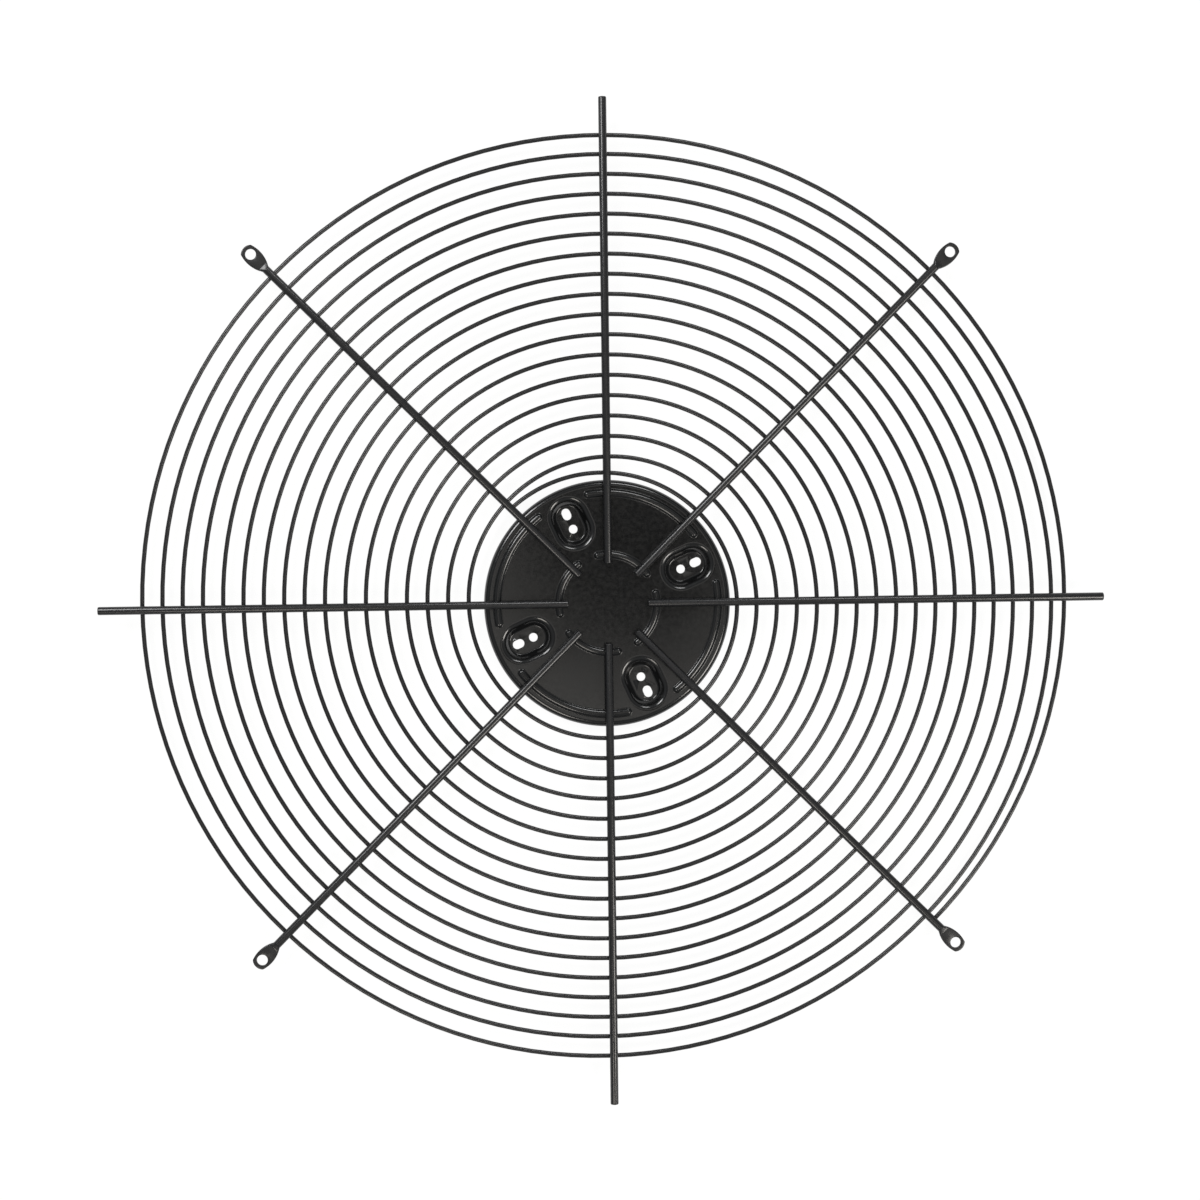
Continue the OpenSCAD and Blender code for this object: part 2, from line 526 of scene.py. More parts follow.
@dataclass
class Recess:
    """An obround pocket pressed back from the plate, whose floor seats on the motor and has two screw holes.

    Attributes:
        centre_r: Distance from the axis to its centre.
        width: Width at the plate's front.
        length: Length at the plate's front.
        depth: Depth from the plate's front to the floor.
        lean: Lean of the wall from upright.
        shoulder_r: Radius of the shoulder at the plate's front.
        fillet_r: Radius between wall and floor.
        hole_r: Distance from the axis to the round hole.
        hole_d: Diameter of the round hole.
        slot_r: Distance from the axis to the slot's centre.
        slot_l: Length of the slot.
        shoulder_steps: Faces across the shoulder.
        fillet_steps: Faces across the fillet.
        end_steps: Faces round each end of the pocket.
        hole_steps: Faces round each half of a hole.
    """

    centre_r: float = 45.5
    width: float = 22.7
    length: float = 29.7
    depth: float = 5.0
    lean: float = 30.0
    shoulder_r: float = 3.7
    fillet_r: float = 1.2
    hole_r: float = 42.3
    hole_d: float = 4.5
    slot_r: float = 50.7
    slot_l: float = 6.1
    shoulder_steps: int = 9
    fillet_steps: int = 5
    end_steps: int = 20
    hole_steps: int = 16

    def track(self, centre_r: float, straight: float, steps: int) -> list[Leg]:
        """Gives the closed track round an obround that lies along +X, from its -Y side.

        Args:
            centre_r: Distance from the axis to its centre.
            straight: Length of its straight sides.
            steps: Faces round each end.

        Returns:
            The four legs.
        """
        half = Vector((straight / 2, 0.0, 0.0))
        middle = Vector((centre_r, 0.0, 0.0))
        return [
            Leg(centre=middle + half, degrees=180, steps=steps),
            Leg(by=-2 * half),
            Leg(centre=middle - half, degrees=180, steps=steps),
            Leg(by=2 * half),
        ]

    def press(self, bm: BMesh, plate_z: float) -> None:
        """Adds the recess's front, centred on the direction of +X, with its holes left open.

        Args:
            bm: The mesh to add to.
            plate_z: Height of the plate's front.
        """
        tilt = math.radians(self.lean)
        floor_z = plate_z - self.depth
        radii = self.shoulder_r + self.fillet_r
        fall = self.depth - radii * (1 - math.sin(tilt))
        floor_half = self.width / 2 - radii * math.cos(tilt) - fall * math.tan(tilt)
        straight = self.length - self.width
        end_x = self.centre_r + straight / 2
        lip = Vector((end_x, -self.width / 2, plate_z))
        foot = Vector((end_x, -floor_half, floor_z + self.fillet_r))
        turn = 90 - self.lean
        along = Vector((1.0, 0.0, 0.0))
        section = draw(
            bm,
            lip,
            [
                Leg(centre=lip - self.shoulder_r * UP, axis=along, degrees=-turn, steps=self.shoulder_steps),
                Leg(by=Vector((0.0, fall * math.tan(tilt), -fall))),
                Leg(centre=foot, axis=along, degrees=turn, steps=self.fillet_steps),
            ],
        )
        walk(bm, section, self.track(self.centre_r, straight, self.end_steps))
        for centre_r, length in ((self.hole_r, self.hole_d), (self.slot_r, self.slot_l)):
            side = length - self.hole_d
            start = bm.verts.new((centre_r + side / 2, -self.hole_d / 2, floor_z))
            walk(bm, [start], self.track(centre_r, side, self.hole_steps))
        bmesh.ops.remove_doubles(bm, verts=bm.verts, dist=MERGE_MM)
        bmesh.ops.triangle_fill(bm, edges=open_edges(bm, floor_z), use_beauty=True, use_dissolve=False)


@dataclass
class HubPlate:
    """The pressed steel plate in the middle, which carries the motor behind and the spokes in front.

    Attributes:
        diameter: Diameter over the turned rim.
        sheet_t: Thickness of the sheet.
        bend_r: Outer radius of the bend at the rim.
        rim_depth: Depth of the rim, front face to edge.
        recess_angle: Angle of the first recess.
        bead_to_recess: Angle between the middle of a bead and the next recess.
        edge_break: Rounding that the coat gives the cut edges.
        recess: One of the four recesses.
        beads: The outer and the inner bead between two recesses.
        bend_steps: Faces across the bend.
        rim_steps: Faces round the rim.
    """

    diameter: float = 128.0
    sheet_t: float = 1.5
    bend_r: float = 3.0
    rim_depth: float = 5.5
    recess_angle: float = 24.0
    bead_to_recess: float = 45.0
    edge_break: float = 0.25
    recess: Recess = field(default_factory=Recess)
    beads: tuple[Bead, Bead] = (
        Bead(ring_r=57.3, width=3.9, span=61.6),
        Bead(ring_r=25.4, width=3.6, span=65.0),
    )
    bend_steps: int = 8
    rim_steps: int = 192

    @property
    def front_z(self) -> float:
        """Height of the plate's front."""
        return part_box("hub_plate")[0].z / MM + self.sheet_t + self.recess.depth

    @property
    def crest_z(self) -> float:
        """Height of the beads' crests."""
        return self.front_z + self.beads[0].height

    def build(self) -> bpy.types.Object:
        """Presses the sheet, gives it its thickness and adds it to the scene.

        Returns:
            The piece.
        """
        bm = bmesh.new()
        for bead in self.beads:
            bead.press(bm, self.front_z)
        bmesh.ops.rotate(bm, verts=bm.verts, cent=ORIGIN, matrix=turn_about_axis(self.bead_to_recess))
        self.recess.press(bm, self.front_z)
        bmesh.ops.spin(
            bm,
            geom=[*bm.verts, *bm.edges, *bm.faces],
            cent=ORIGIN,
            axis=UP,
            angle=math.radians(QUARTERS[-1]),
            steps=len(QUARTERS) - 1,
            use_duplicate=True,
        )
        bmesh.ops.rotate(bm, verts=bm.verts, cent=ORIGIN, matrix=turn_about_axis(self.recess_angle))
        self.turn_rim(bm)
        bmesh.ops.remove_doubles(bm, verts=bm.verts, dist=MERGE_MM)
        bmesh.ops.triangle_fill(bm, edges=open_edges(bm, self.front_z), use_beauty=True, use_dissolve=False)
        bmesh.ops.recalc_face_normals(bm, faces=bm.faces)
        if sum(face.normal.z * face.calc_area() for face in bm.faces) < 0:
            bmesh.ops.reverse_faces(bm, faces=bm.faces)
        bmesh.ops.solidify(bm, geom=bm.faces[:], thickness=self.sheet_t)
        flat = [face for face in bm.faces if abs(face.normal.z) > FLAT]
        bmesh.ops.inset_region(bm, faces=flat, thickness=MARGIN_MM, use_boundary=True, use_even_offset=True)
        ease(bm, creases(bm, CUT_EDGE), self.edge_break)
        return make_piece(bm, "pressed_hub_plate", Finish.SHEET, ["hub_plate"])

    def turn_rim(self, bm: BMesh) -> None:
        """Adds the bend and the short wall round the plate's edge.

        Args:
            bm: The mesh to add to.
        """
        start = Vector((self.diameter / 2 - self.bend_r, 0.0, self.front_z))
        across = Vector((0.0, 1.0, 0.0))
        section = draw(
            bm,
            start,
            [
                Leg(centre=start - self.bend_r * UP, axis=across, degrees=90, steps=self.bend_steps),
                Leg(by=(self.bend_r - self.rim_depth) * UP),
            ],
        )
        bmesh.ops.spin(
            bm,
            geom=section,
            cent=ORIGIN,
            axis=UP,
            angle=math.tau,
            steps=self.rim_steps,
            use_merge=True,
        )


# ---- Wires ----


@dataclass(frozen=True)
class Bend:
    """A part turn of the spiral, clockwise as seen from the front.

    Attributes:
        centre: The point that it goes about.
        angle: Direction from the centre to its start.
        radius: Its radius.
        degrees: How far it turns.
    """

    centre: Vector
    angle: float
    radius: float
    degrees: float


@dataclass
class SpiralWire:
    """The long wire that winds outwards behind the spokes, in quarter-turn bends that join without a kink.

    Attributes:
        wire_d: Its diameter.
        shown_extra: Extra radius that it is shown with, as its edges mirror the pale ground and look thin.
        half_turns: How many half turns it has.
        start_angle: Angle at which it starts.
        start_r: Radius at which it starts, before its first bend opens out.
        start_flare: How much wider the first bend is.
        start_shift: Centre of the first bend.
        start_trim: Angle by which the first bend is cut short under its spoke.
        end_reach: Angle by which the last bend reaches on under its spoke.
        first_turn_rise: Growth of the radius over the first turn.
        inner_pitch: Pitch of the second turn.
        outer_pitch: Pitch of the last whole turn.
        last_half_drop: How much the last half turn closes in.
        start_ovality: How much more the first turn is bent above and below than at its sides.
        end_ovality: The same for the last whole turn.
        sides: Faces round the wire.
        steps: Faces along each bend.
        end_break: Rounding of its two cut ends.
    """

    wire_d: float = 2.1
    shown_extra: float = 0.1
    half_turns: int = 35
    start_angle: float = 135.0
    start_r: float = 63.7
    start_flare: float = 6.2
    start_shift: tuple[float, float] = (-2.4, -2.5)
    start_trim: float = 1.4
    end_reach: float = 0.6
    first_turn_rise: float = 10.1
    inner_pitch: float = 10.6
    outer_pitch: float = 10.15
    last_half_drop: float = 0.2
    start_ovality: float = 1.9
    end_ovality: float = 0.5
    sides: int = 14
    steps: int = 36
    end_break: float = 0.3

    @property
    def height(self) -> float:
        """Height of the wire's centre."""
        return middle_height("spiral_wire")

    @property
    def whole_turns(self) -> float:
        """Number of whole turns before the last half turn."""
        return (self.half_turns - 1) / 2

    def growth(self, n: float) -> float:
        """Gives how much the radius has grown.

        Args:
            n: Number of turns from the start.

        Returns:
            The growth in millimetres.
        """
        if n < 1:
            return self.first_turn_rise * n
        further = min(n, self.whole_turns) - 1
        easing = (self.inner_pitch - self.outer_pitch) / (self.whole_turns - 1) / 2
        return self.first_turn_rise + self.inner_pitch * further - easing * further * further

    def bend_radius(self, k: int) -> float:
        """Gives the radius of a bend.

        Args:
            k: Which bend, from 0.

        Returns:
            The radius in millimetres.
        """
        n = (k + 0.5) / 4
        easing = min(n / self.whole_turns, 1)
        ovality = self.start_ovality + (self.end_ovality - self.start_ovality) * easing
        flare = self.start_flare if k == 0 else 0.0
        drop = self.last_half_drop if k >= 2 * self.half_turns - 2 else 0.0
        return round(self.start_r + self.growth(n) + (k % 2 - 0.5) * ovality + flare - drop, 2)

    def bends(self) -> list[Bend]:
        """Works out the bends.

        Returns:
            The bends, from the inside outwards.
        """
        last = 2 * self.half_turns - 1
        centre = Vector((*self.start_shift, self.height))
        bends: list[Bend] = []
        for k in range(last + 1):
            angle = self.start_angle - 90 * k
            radius = self.bend_radius(k)
            if bends:
                centre = centre + (bends[-1].radius - radius) * direction(angle)
            trim = self.start_trim if k == 0 else 0.0
            reach = self.end_reach if k == last else 0.0
            bends.append(Bend(centre, angle - trim, radius, 90 - trim + reach))
        return bends

    def crossings(self, angle: float) -> list[Vector]:
        """Finds where the wire passes under a ray from the axis.

        Args:
            angle: The ray's angle.

        Returns:
            The points on the wire's centre line.
        """
        ray = direction(angle)
        found = []
        for bend in self.bends():
            along = ray.dot(bend.centre)
            aside = bend.centre.xy.length_squared - along**2
            point = ray * (along + math.sqrt(bend.radius**2 - aside)) + self.height * UP
            arm = point - bend.centre
            if (bend.angle - math.degrees(math.atan2(arm.y, arm.x))) % 360 <= bend.degrees:
                found.append(point)
        return found

    def wind(self, bm: BMesh, bend: Bend) -> None:
        """Adds one bend.

        Args:
            bm: The mesh to add to.
            bend: The bend.
        """
        place = Matrix.Translation(bend.centre) @ turn_about_axis(bend.angle)
        stand = Matrix.Translation((bend.radius, 0.0, 0.0)) @ Matrix.Rotation(math.radians(90), 4, "X")
        turn = bmesh.new()
        bmesh.ops.create_circle(
            turn,
            cap_ends=False,
            radius=self.wire_d / 2 + self.shown_extra,
            segments=self.sides,
            matrix=place @ stand,
        )
        sweep = Leg(centre=bend.centre, degrees=-bend.degrees, steps=self.steps)
        walk(turn, [*turn.verts, *turn.edges], [sweep])
        mesh = bpy.data.meshes.new("bend")
        turn.to_mesh(mesh)
        turn.free()
        bm.from_mesh(mesh)
        bpy.data.meshes.remove(mesh)

    def build(self) -> bpy.types.Object:
        """Winds the wire and adds it to the scene.

        Returns:
            The piece.
        """
        bm = bmesh.new()
        for bend in self.bends():
            self.wind(bm, bend)
        bmesh.ops.remove_doubles(bm, verts=bm.verts, dist=MERGE_MM)
        rims = [edge for edge in bm.edges if edge.is_boundary]
        bmesh.ops.holes_fill(bm, edges=rims, sides=0)
        bmesh.ops.recalc_face_normals(bm, faces=bm.faces)
        ease(bm, rims, self.end_break)
        return make_piece(bm, "wound_spiral_wire", Finish.WIRE, ["spiral_wire"])


@dataclass
class Spoke:
    """A straight drawn wire that lies on the plate's beads and on the spiral, with both ends cut off square.

    Attributes:
        angle: Its direction.
        wire_d: Its diameter.
        inner_r: Distance from the axis to its inner end.
        tip_r: Distance from the axis to its outer end.
        end_break: Rounding of its cut ends.
        sides: Faces round the wire.
    """

    angle: int
    wire_d: float = 4.2
    inner_r: float = 20.7
    tip_r: float = 260.4
    end_break: float = 0.5
    sides: int = 32

    @property
    def cad_node(self) -> str:
        """Name of the CAD node that it stands for."""
        return f"plain_spoke_{self.angle}"

    @property
    def lay(self) -> Matrix:
        """The turn that lays a wire's section across +X, with a face and not a corner on top."""
        return Matrix.Rotation(math.radians(90), 4, "Y") @ Matrix.Rotation(math.pi / self.sides, 4, "Z")

    def round_wire(self, bm: BMesh, outer_r: float, tip_cut: bool) -> None:
        """Adds the round wire along +X, about the X axis.

        Args:
            bm: The mesh to add to.
            outer_r: Distance from the axis to the wire's outer end.
            tip_cut: Whether that end is a cut end, and not open for what follows it.
        """
        middle = Matrix.Translation(((self.inner_r + outer_r) / 2, 0.0, 0.0))
        bmesh.ops.create_cone(
            bm,
            cap_ends=True,
            cap_tris=False,
            segments=self.sides,
            radius1=self.wire_d / 2,
            radius2=self.wire_d / 2,
            depth=outer_r - self.inner_r,
            matrix=middle @ self.lay,
        )
        bm.normal_update()
        cut_xs = (self.inner_r, outer_r) if tip_cut else (self.inner_r,)
        rims = [
            edge
            for edge in creases(bm, CUT_EDGE)
            if any(all(abs(vert.co.x - x) < MERGE_MM for vert in edge.verts) for x in cut_xs)
        ]
        ease(bm, rims, self.end_break, segments=3)

    def shape(self, bm: BMesh) -> None:
        """Adds the whole spoke along +X, about the X axis.

        Args:
            bm: The mesh to add to.
        """
        self.round_wire(bm, self.tip_r, tip_cut=True)

    def build(self) -> bpy.types.Object:
        """Makes the spoke, turns and lifts it to its place and adds it to the scene.

        Returns:
            The piece.
        """
        bm = bmesh.new()
        self.shape(bm)
        lift = Matrix.Translation((0.0, 0.0, middle_height(self.cad_node)))
        bmesh.ops.transform(bm, matrix=lift @ turn_about_axis(self.angle), verts=bm.verts)
        return make_piece(bm, f"{self.cad_node}_wire", Finish.WIRE, [self.cad_node])


@dataclass
class EyeletSpoke(Spoke):
    """A spoke whose outer end is pressed flat, sheared to a blunt leaf and pierced for a screw.

    Attributes:
        hole_ring_r: Distance from the axis to the hole's centre.
        hole_d: Diameter of the hole.
        flat_t: Thickness of the flattened end.
        widest: Greatest width of the leaf.
        widest_to_hole: Distance from the widest place out to the hole's centre.
        side_r: Radius of the leaf's two sides.
        hole_to_end: Distance from the hole's centre to the outer end.
        end_r: Radius of the outer end.
        hole_to_round: Distance from the hole's centre in to the round wire.
        flattening_l: Length over which the wire flattens.
        flattening_shares: Where along that length its sections lie, the last one inside the leaf.
        side_break: Rounding of the leaf's outline, where the pressed wire bulges.
        hole_break: Rounding of the pierced hole's mouth.
        side_steps: Faces along each side of the leaf.
        end_steps: Faces round its outer end.
        hole_sides: Faces round the hole.
    """

    hole_ring_r: float = 255.0
    hole_d: float = 5.5
    flat_t: float = 1.8
    widest: float = 9.0
    widest_to_hole: float = 2.0
    side_r: float = 16.0
    hole_to_end: float = 4.75
    end_r: float = 5.2
    hole_to_round: float = 11.2
    flattening_l: float = 2.6
    flattening_shares: Sequence[float] = (0.0, 0.12, 0.25, 0.38, 0.5, 0.62, 0.75, 0.88, 1.0, 1.4)
    side_break: float = 0.45
    hole_break: float = 0.4
    side_steps: int = 20
    end_steps: int = 14
    hole_sides: int = 40

    @property
    def cad_node(self) -> str:
        """Name of the CAD node that it stands for."""
        return f"eyelet_spoke_{self.angle}"

    def half_width(self, u: float) -> float:
        """Gives half the leaf's width between its curved sides.

        Args:
            u: Distance outwards from the hole's centre.

        Returns:
            The half width in millimetres.
        """
        return math.sqrt(self.side_r**2 - (u + self.widest_to_hole) ** 2) - self.side_r + self.widest / 2

    def section(self, bm: BMesh, u: float) -> list[BMEdge]:
        """Adds the outline of the wire's section where it flattens: a circle drawn apart sideways.

        Args:
            bm: The mesh to add to.
            u: Distance outwards from the hole's centre.

        Returns:
            The outline's edges.
        """
        share = min(1.0, (u + self.hole_to_round) / self.flattening_l)
        half_t = self.wire_d / 2 + share * (self.flat_t - self.wire_d) / 2
        apart = max(self.wire_d / 2, self.half_width(u)) - half_t
        ring = bmesh.ops.create_circle(
            bm,
            cap_ends=False,
            radius=half_t,
            segments=self.sides,
            matrix=Matrix.Translation((self.hole_ring_r + u, 0.0, 0.0)) @ self.lay,
        )["verts"]
        for side in (-1, 1):
            half = [vert for vert in ring if vert.co.y * side > 0]
            bmesh.ops.translate(bm, verts=half, vec=(0.0, side * apart, 0.0))
        return list({edge for vert in ring for edge in vert.link_edges})

    def leaf(self, bm: BMesh) -> None:
        """Adds the flat leaf with its hole, level with the X axis.

        Args:
            bm: The mesh to add to.
        """
        inner_u = self.flattening_l - self.hole_to_round
        hole = Vector((self.hole_ring_r, 0.0, -self.flat_t / 2))
        side_y = self.side_r - self.widest / 2
        side_u = -self.widest_to_hole
        end_u = self.hole_to_end - self.end_r
        # The corner lies where the circle of a side and the circle of the end cross.
        gap = math.hypot(end_u - side_u, side_y)
        from_side = (self.side_r**2 - self.end_r**2 + gap**2) / (2 * gap)
        off_line = math.sqrt(self.side_r**2 - from_side**2)
        line = Vector((end_u - side_u, -side_y)) / gap
        corner = Vector((side_u, side_y)) + line * from_side + Vector((-line.y, line.x)) * off_line
        swing = math.degrees(math.asin((corner.x - side_u) / self.side_r))
        swing_in = math.degrees(math.asin((inner_u - side_u) / self.side_r))
        end_half = math.degrees(math.atan2(-corner.y, corner.x - end_u))
        near_side, far_side = (
            Leg(centre=hole + Vector((side_u, y, 0.0)), degrees=swing - swing_in, steps=self.side_steps)
            for y in (side_y, -side_y)
        )
        outline = draw(
            bm,
            hole + Vector((inner_u, -self.half_width(inner_u), 0.0)),
            [
                near_side,
                Leg(centre=hole + Vector((end_u, 0.0, 0.0)), degrees=2 * end_half, steps=self.end_steps),
                far_side,
                Leg(by=Vector((0.0, -2 * self.half_width(inner_u), 0.0))),
            ],
        )
        rim = bmesh.ops.create_circle(
            bm,
            cap_ends=False,
            radius=self.hole_d / 2,
            segments=self.hole_sides,
            matrix=Matrix.Translation(hole),
        )["verts"]
        verts = [part for part in outline if isinstance(part, BMVert)] + rim
        bmesh.ops.remove_doubles(bm, verts=verts, dist=MERGE_MM)
        made = bmesh.ops.triangle_fill(
            bm, edges=open_edges(bm, hole.z), use_beauty=True, use_dissolve=False
        )
        faces = [part for part in made["geom"] if isinstance(part, BMFace)]
        top = bmesh.ops.extrude_face_region(bm, geom=faces, use_keep_orig=True)["geom"]
        bmesh.ops.translate(
            bm, verts=[part for part in top if isinstance(part, BMVert)], vec=(0.0, 0.0, self.flat_t)
        )

    def shape(self, bm: BMesh) -> None:
        """Adds the whole spoke along +X, about the X axis.

        Args:
            bm: The mesh to add to.
        """
        self.leaf(bm)
        bmesh.ops.recalc_face_normals(bm, faces=bm.faces)
        mouths, sides = [], []
        for edge in creases(bm, CUT_EDGE):
            reach = max((vert.co.xy - Vector((self.hole_ring_r, 0.0))).length for vert in edge.verts)
            level = abs(edge.verts[0].co.z - edge.verts[1].co.z) <= MERGE_MM
            if level and reach < self.hole_d / 2 + MERGE_MM:
                mouths.append(edge)
            elif level:
                sides.append(edge)
        ease(bm, mouths, self.hole_break, segments=3)
        ease(bm, [edge for edge in sides if edge.is_valid], self.side_break, segments=3)
        self.round_wire(bm, self.hole_ring_r - self.hole_to_round, tip_cut=False)
        rings = [
            self.section(bm, self.flattening_l * share - self.hole_to_round)
            for share in self.flattening_shares
        ]
        for inner, outer in zip(rings, rings[1:]):
            bmesh.ops.bridge_loops(bm, edges=inner + outer)
        bmesh.ops.holes_fill(bm, edges=rings[0] + rings[-1], sides=0)
        bmesh.ops.recalc_face_normals(bm, faces=bm.faces)


@dataclass
class WeldNuggets:
    """The small lumps that resistance welding squeezes out where two pieces cross.

    Attributes:
        spiral: The spiral that lies under the spokes.
        hub: The plate whose beads lie under the spokes.
        spokes: The spokes.
        wire_reach: Half the length of a lump between two wires.
        wire_spread: Half its width.
        bead_reach: Half the length of a lump on a bead.
        half_t: Half the height of a lump.
    """

    spiral: SpiralWire
    hub: HubPlate
    spokes: Sequence[Spoke]
    wire_reach: float = 1.75
    wire_spread: float = 1.3
    bead_reach: float = 1.5
    half_t: float = 0.42

    def build(self) -> bpy.types.Object:
        """Adds one lump at each weld, all in one piece.

        Returns:
            The piece.
        """
        bm = bmesh.new()
        for spoke in self.spokes:
            contact_z = middle_height(spoke.cad_node) - spoke.wire_d / 2
            turned = turn_about_axis(spoke.angle)
            for point in self.spiral.crossings(spoke.angle):
                weld = Vector((point.x, point.y, contact_z))
                self.lump(bm, weld, turned, self.wire_spread, self.wire_reach)
            for bead in self.hub.beads:
                point = turned @ Vector((bead.ring_r, 0.0, self.hub.crest_z))
                self.lump(bm, point, turned, self.bead_reach, self.wire_spread)
        return make_piece(bm, "weld_nuggets", Finish.WIRE)

    def lump(self, bm: BMesh, point: Vector, turned: Matrix, along: float, across: float) -> None:
        """Adds one flattened lump.

        Args:
            bm: The mesh to add to.
            point: Its centre.
            turned: The turn that takes +X to the spoke's direction.
            along: Half its size along the spoke.
            across: Half its size across the spoke.
        """
        size = Matrix.Diagonal((along, across, self.half_t, 1.0))
        bmesh.ops.create_icosphere(
            bm, subdivisions=1, radius=1.0, matrix=Matrix.Translation(point) @ turned @ size
        )


# ---- Studio ----


@dataclass(frozen=True)
class Softbox:
    """A soft rectangular lamp that points at the guard's middle.

    Attributes:
        name: Name of the lamp.
        place: Where it hangs, in metres.
        size: Its width and height in metres.
        watts: Its power.
        tint: Colour of its light.
    """

    name: str
    place: tuple[float, float, float]
    size: tuple[float, float]
    watts: float
    tint: str = "#ffffff"

    def hang(self) -> None:
        """Adds the lamp to the scene."""
        light = bpy.data.lights.new(self.name, "AREA")
        light.shape = "RECTANGLE"
        light.size, light.size_y = self.size
        light.energy = self.watts
        light.color = linear(self.tint)[:3]
        lamp = bpy.data.objects.new(self.name, light)
        lamp.location = self.place
        lamp.rotation_mode = "QUATERNION"
        lamp.rotation_quaternion = (-Vector(self.place)).to_track_quat("-Z", "Y")
        lamp.visible_camera = False
        bpy.context.scene.collection.objects.link(lamp)


@dataclass
class Studio:
    """A pale floor, a soft sky and lamps, and the camera that looks down the guard's axis.

    Attributes:
        sensor_mm: Width of the camera's sensor.
        lens_mm: Focal length.
        distance: From the camera to the guard's middle, in metres.
        lean_x: How far the camera leans out towards +X, in degrees.
        lean_y: How far it leans out towards +Y, in degrees.
        roll: Turn of the picture, in degrees.
        aim_mm: The point that the camera looks at.
        look_z_mm: Height of the point about which it leans.
        floor_size: Side of the floor in metres.
        floor_gap_mm: Gap between the floor and the guard, so that their faces never lie in one plane.
        paper_colour: Colour of the floor's paper.
        paper_whitened: How much of the paper shows as plain white to the camera and in reflections.
        paper_white: Strength of that white.
        dark_spot: Lean towards +X and +Y, in degrees, of the direction in which the room is darkest.
        sky_rings: Colour of the room at angles from that direction, in degrees.
        sky_strength: Brightness of white in the room.
        lamps: The soft lamps.
    """

    sensor_mm: float = 36.0
    lens_mm: float = 69.6
    distance: float = 1.2
    lean_x: float = -4.38
    lean_y: float = 1.78
    roll: float = 0.71
    aim_mm: tuple[float, float] = (-4.19, 1.86)
    look_z_mm: float = 8.0
    floor_size: float = 12.0
    floor_gap_mm: float = 0.05
    paper_colour: str = "#d8d8d6"
    paper_whitened: float = 0.88
    paper_white: float = 1.06
    dark_spot: tuple[float, float] = (5.6, 1.4)
    sky_rings: Sequence[tuple[float, str]] = (
        (5.4, "#08090a"),
        (9.0, "#dbd8d3"),
        (13.0, "#b4b2af"),
        (22.0, "#626364"),
        (34.0, "#5a5b5c"),
        (50.0, "#787a7b"),
        (90.0, "#5c5d5e"),
    )
    sky_strength: float = 2.2
    lamps: Sequence[Softbox] = (
        Softbox("upper_left_softbox", (-0.85, 0.85, 1.15), (0.5, 0.5), 13.0),
        Softbox("back_softbox", (0.35, 1.3, 1.05), (0.6, 0.35), 7.0),
        Softbox("lower_right_softbox", (1.0, -0.65, 1.1), (0.6, 0.5), 12.0, "#fffaf3"),
        Softbox("front_softbox", (-0.45, -1.05, 1.3), (0.5, 0.4), 6.0, "#fff8ef"),
    )

    def set_camera(self) -> None:
        """Adds the camera and makes it the scene's."""
        tilt_x, tilt_y = math.radians(self.lean_x), math.radians(self.lean_y)
        level = math.cos(tilt_y)
        back = Vector((math.sin(tilt_x) * level, math.sin(tilt_y), math.cos(tilt_x) * level))
        right = Vector((math.cos(tilt_x), 0.0, -math.sin(tilt_x)))
        pivot = self.look_z_mm * MM * UP
        place = pivot + back * self.distance
        above = back.cross(right)
        aim = pivot + (right * self.aim_mm[0] + above * self.aim_mm[1]) * MM
        back = (place - aim).normalized()
        right = (right - back * right.dot(back)).normalized()
        turn = Matrix((right, back.cross(right), back)).transposed()
        data = bpy.data.cameras.new("camera")
        data.sensor_width = self.sensor_mm
        data.lens = self.lens_mm
        camera = bpy.data.objects.new("camera", data)
        rolled = turn.to_4x4() @ turn_about_axis(-self.roll)
        camera.matrix_world = Matrix.Translation(place) @ rolled
        bpy.context.scene.collection.objects.link(camera)
        bpy.context.scene.camera = camera

    def lay_floor(self) -> None:
        """Adds the floor just under the guard."""
        bm = bmesh.new()
        bmesh.ops.create_grid(bm, x_segments=1, y_segments=1, size=self.floor_size / 2)
        bmesh.ops.translate(bm, verts=bm.verts, vec=(0.0, 0.0, CAD_BOX[0].z - self.floor_gap_mm * MM))
        mesh = bpy.data.meshes.new("floor")
        bm.to_mesh(mesh)
        bm.free()
        mesh.materials.append(self.floor_paper())
        floor = bpy.data.objects.new("floor", mesh)
        bpy.context.scene.collection.objects.link(floor)

    def floor_paper(self) -> bpy.types.Material:
        """Makes matt uncoated paper, which has no gloss, shows as white and still holds a faint shadow.

        Returns:
            The material.
        """
        material = bpy.data.materials.new("matt_white_paper")
        material.use_nodes = True
        tree = material.node_tree
        tree.nodes.clear()
        path = add_node(tree, "ShaderNodeLightPath")
        seen = path.outputs["Is Camera Ray"]
        for kind in ("Is Glossy Ray", "Is Transmission Ray"):
            ray = path.outputs[kind]
            seen = add_node(tree, "ShaderNodeMath", {"operation": "MAXIMUM"}, {0: seen, 1: ray}).outputs[0]
        share = add_node(
            tree, "ShaderNodeMath", {"operation": "MULTIPLY"}, {0: seen, 1: self.paper_whitened}
        )
        paper = add_node(tree, "ShaderNodeBsdfDiffuse", inputs={"Color": linear(self.paper_colour)})
        white = add_node(
            tree,
            "ShaderNodeEmission",
            inputs={"Color": (1.0, 1.0, 1.0, 1.0), "Strength": self.paper_white},
        )
        mixed = add_node(
            tree,
            "ShaderNodeMixShader",
            inputs={0: share.outputs[0], 1: paper.outputs["BSDF"], 2: white.outputs["Emission"]},
        )
        add_node(tree, "ShaderNodeOutputMaterial", inputs={"Surface": mixed.outputs["Shader"]})
        return material

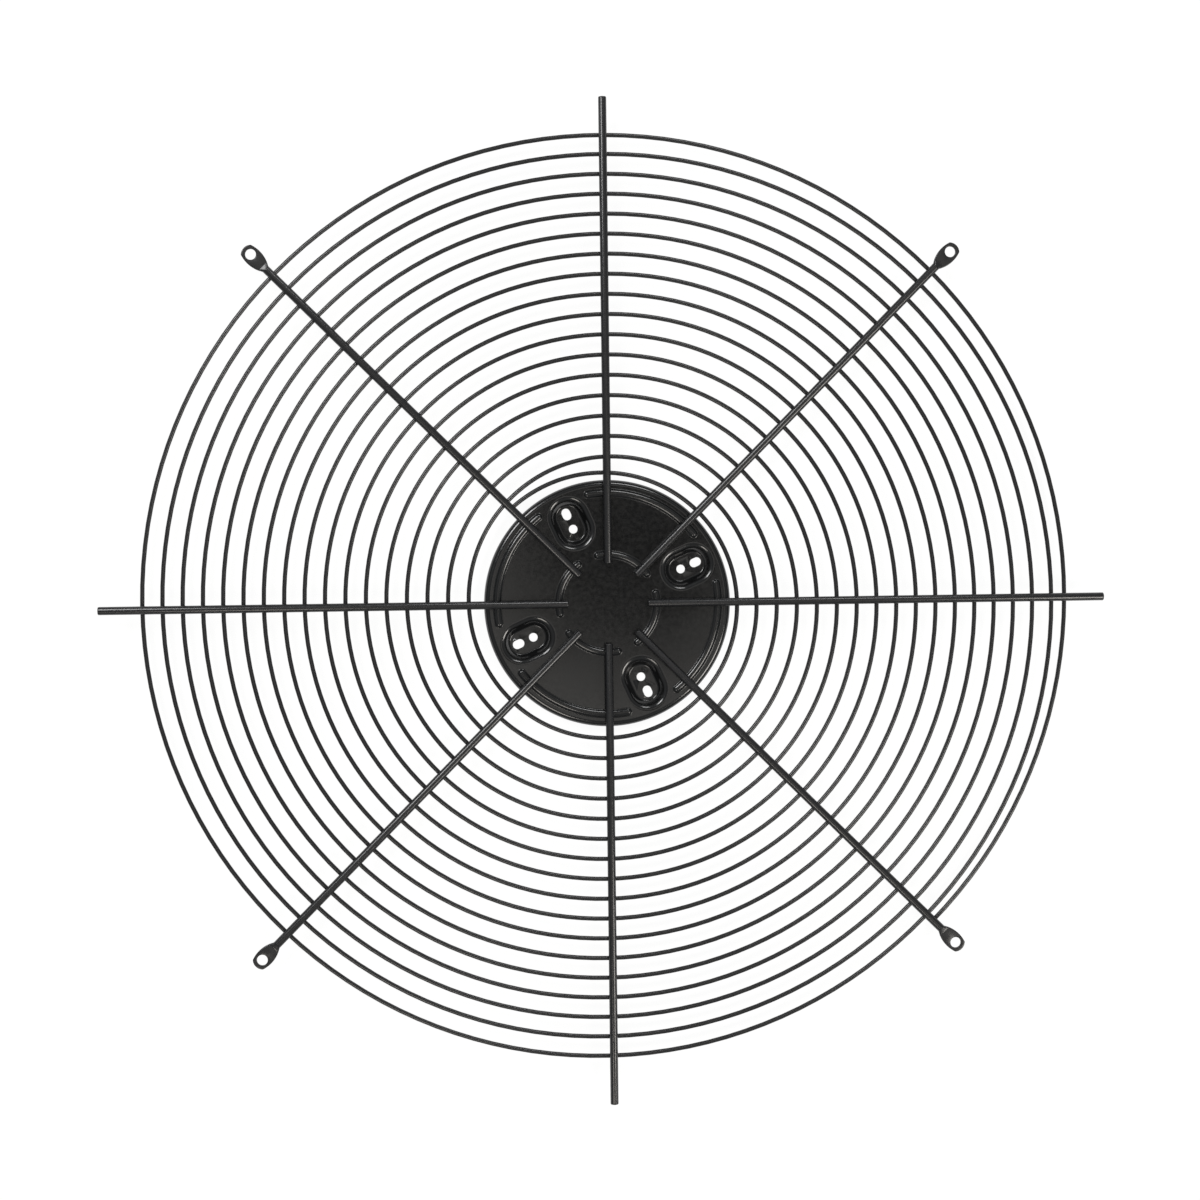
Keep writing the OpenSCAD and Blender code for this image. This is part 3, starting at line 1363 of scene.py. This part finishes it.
    def set_sky(self) -> None:
        """Lights the room softly, in rings about a dark spot overhead, and shows white past the floor."""
        world = bpy.data.worlds.new("soft_room")
        world.use_nodes = True
        tree = world.node_tree
        tree.nodes.clear()
        heading = add_node(tree, "ShaderNodeTexCoord").outputs["Generated"]
        lean_x, lean_y = (math.radians(lean) for lean in self.dark_spot)
        dark_way = Vector((math.tan(lean_x), math.tan(lean_y), 1.0)).normalized()
        nearness = add_node(
            tree, "ShaderNodeVectorMath", {"operation": "DOT_PRODUCT"}, {0: heading, 1: dark_way}
        )
        angle = add_node(
            tree, "ShaderNodeMath", {"operation": "ARCCOSINE"}, {0: nearness.outputs["Value"]}
        )
        share = add_node(
            tree, "ShaderNodeMath", {"operation": "DIVIDE"}, {0: angle.outputs[0], 1: math.radians(90)}
        )
        ramp = add_node(tree, "ShaderNodeValToRGB", inputs={"Fac": share.outputs[0]})
        for spare in list(ramp.color_ramp.elements)[1:]:
            ramp.color_ramp.elements.remove(spare)
        for index, (degrees, colour) in enumerate(self.sky_rings):
            position = degrees / 90
            stop = ramp.color_ramp.elements.new(position) if index else ramp.color_ramp.elements[0]
            stop.position = position
            stop.color = linear(colour)
        room = add_node(
            tree,
            "ShaderNodeBackground",
            inputs={"Color": ramp.outputs["Color"], "Strength": self.sky_strength},
        )
        white = add_node(
            tree, "ShaderNodeBackground", inputs={"Color": (1.0, 1.0, 1.0, 1.0), "Strength": 1.0}
        )
        path = add_node(tree, "ShaderNodeLightPath")
        mixed = add_node(
            tree,
            "ShaderNodeMixShader",
            inputs={0: path.outputs["Is Camera Ray"], 1: room.outputs[0], 2: white.outputs[0]},
        )
        add_node(tree, "ShaderNodeOutputWorld", inputs={"Surface": mixed.outputs["Shader"]})
        bpy.context.scene.world = world

    def build(self) -> None:
        """Sets up the whole studio."""
        self.set_camera()
        self.lay_floor()
        self.set_sky()
        for lamp in self.lamps:
            lamp.hang()
        bpy.context.scene.view_settings.view_transform = "Standard"


def main() -> None:
    """Builds the studio and every piece of the guard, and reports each."""
    logging.basicConfig(level=logging.INFO)
    Studio().build()
    hub = HubPlate()
    spiral = SpiralWire()
    spokes = [spoke for angle in QUARTERS for spoke in (Spoke(angle), EyeletSpoke(angle + 45))]
    for part in (hub, spiral, *spokes, WeldNuggets(spiral, hub, spokes)):
        piece = part.build()
        log.info("%s: %d faces in %s", piece.name, len(piece.data.polygons), piece.data.materials[0].name)


if __name__ == "__main__":
    main()
